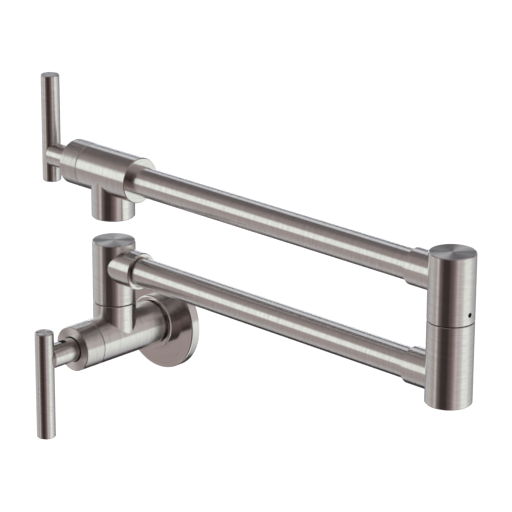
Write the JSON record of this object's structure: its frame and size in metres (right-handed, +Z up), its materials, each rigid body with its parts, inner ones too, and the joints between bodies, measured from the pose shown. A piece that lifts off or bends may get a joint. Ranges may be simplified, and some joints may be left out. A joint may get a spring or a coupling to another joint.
{
  "type": "wall mounted pot filler",
  "caption": "Wall mounted pot filler: folding swivel arms, a lever valve at the wall, a lever valve at the spout, round flange, brushed finish.",
  "frame": {"origin": "centre of the wall flange's back face, on the axis of the inlet nipple and the wall valve", "axes": "+Y into the wall, +Z up, +X along the folded arms"},
  "size_m": [0.3612, 0.1276, 0.2178],
  "materials": {
    "brushed": "fine circumferential brushing, satin",
    "brass": "turned",
    "ceramic": "lapped, smooth",
    "rubber": "matte",
    "glide": "waxy",
    "screw_steel": "turned",
    "plastic": "moulded"
  },
  "bodies": {
    "wall_body": {"wall_flange": "brushed", "flange_gasket": "rubber", "inlet_nipple": "brass", "valve_body": "brushed", "wall_bonnet": "brushed", "wall_cartridge_housing": "brass", "wall_fixed_disc": "ceramic", "wall_seat_seal": "rubber", "base_spindle": "brass", "base_o_rings": "rubber", "base_glide_washer": "glide"},
    "lower_arm": {"base_swivel_head": "brushed", "base_retaining_screw": "screw_steel", "lower_root_collar": "brushed", "lower_arm_tube": "brushed", "lower_tip_collar": "brushed", "elbow_lower_column": "brushed", "elbow_spindle": "brass", "elbow_o_rings": "rubber", "elbow_glide_washer": "glide"},
    "upper_arm": {"elbow_upper_column": "brushed", "elbow_retaining_screw": "screw_steel", "upper_root_collar": "brushed", "upper_arm_tube": "brushed", "spout_valve_body": "brushed", "spout_bonnet": "brushed", "spout_cartridge_housing": "brass", "spout_fixed_disc": "ceramic", "spout_seat_seal": "rubber", "aerator_housing": "brushed", "aerator_insert": "plastic", "aerator_washer": "rubber"},
    "wall_handle": {"wall_stem": "screw_steel", "wall_moving_disc": "ceramic", "wall_stem_o_ring": "rubber", "wall_handle_hub": "brushed", "wall_handle_bar": "brushed", "wall_handle_set_screw": "screw_steel"},
    "spout_handle": {"spout_stem": "screw_steel", "spout_moving_disc": "ceramic", "spout_stem_o_ring": "rubber", "spout_handle_hub": "brushed", "spout_handle_bar": "brushed", "spout_handle_set_screw": "screw_steel"}
  },
  "joints": [
    {"name": "base_swivel", "type": "hinge", "parent": "wall_body", "child": "lower_arm", "pos_m": [0, -0.0452, 0.024], "axis": [0, 0, 1], "range_deg": [-180, 0]},
    {"name": "elbow_swivel", "type": "hinge", "parent": "lower_arm", "child": "upper_arm", "pos_m": [0.2826, -0.0452, 0.0851], "axis": [0, 0, 1], "continuous": true},
    {"name": "wall_valve_turn", "type": "hinge", "parent": "wall_body", "child": "wall_handle", "pos_m": [0, -0.0829, 0], "axis": [0, 1, 0], "range_deg": [0, 90]},
    {"name": "spout_valve_turn", "type": "hinge", "parent": "upper_arm", "child": "spout_handle", "pos_m": [-0.0349, -0.0452, 0.1108], "axis": [1, 0, 0], "range_deg": [0, 90]}
  ]
}
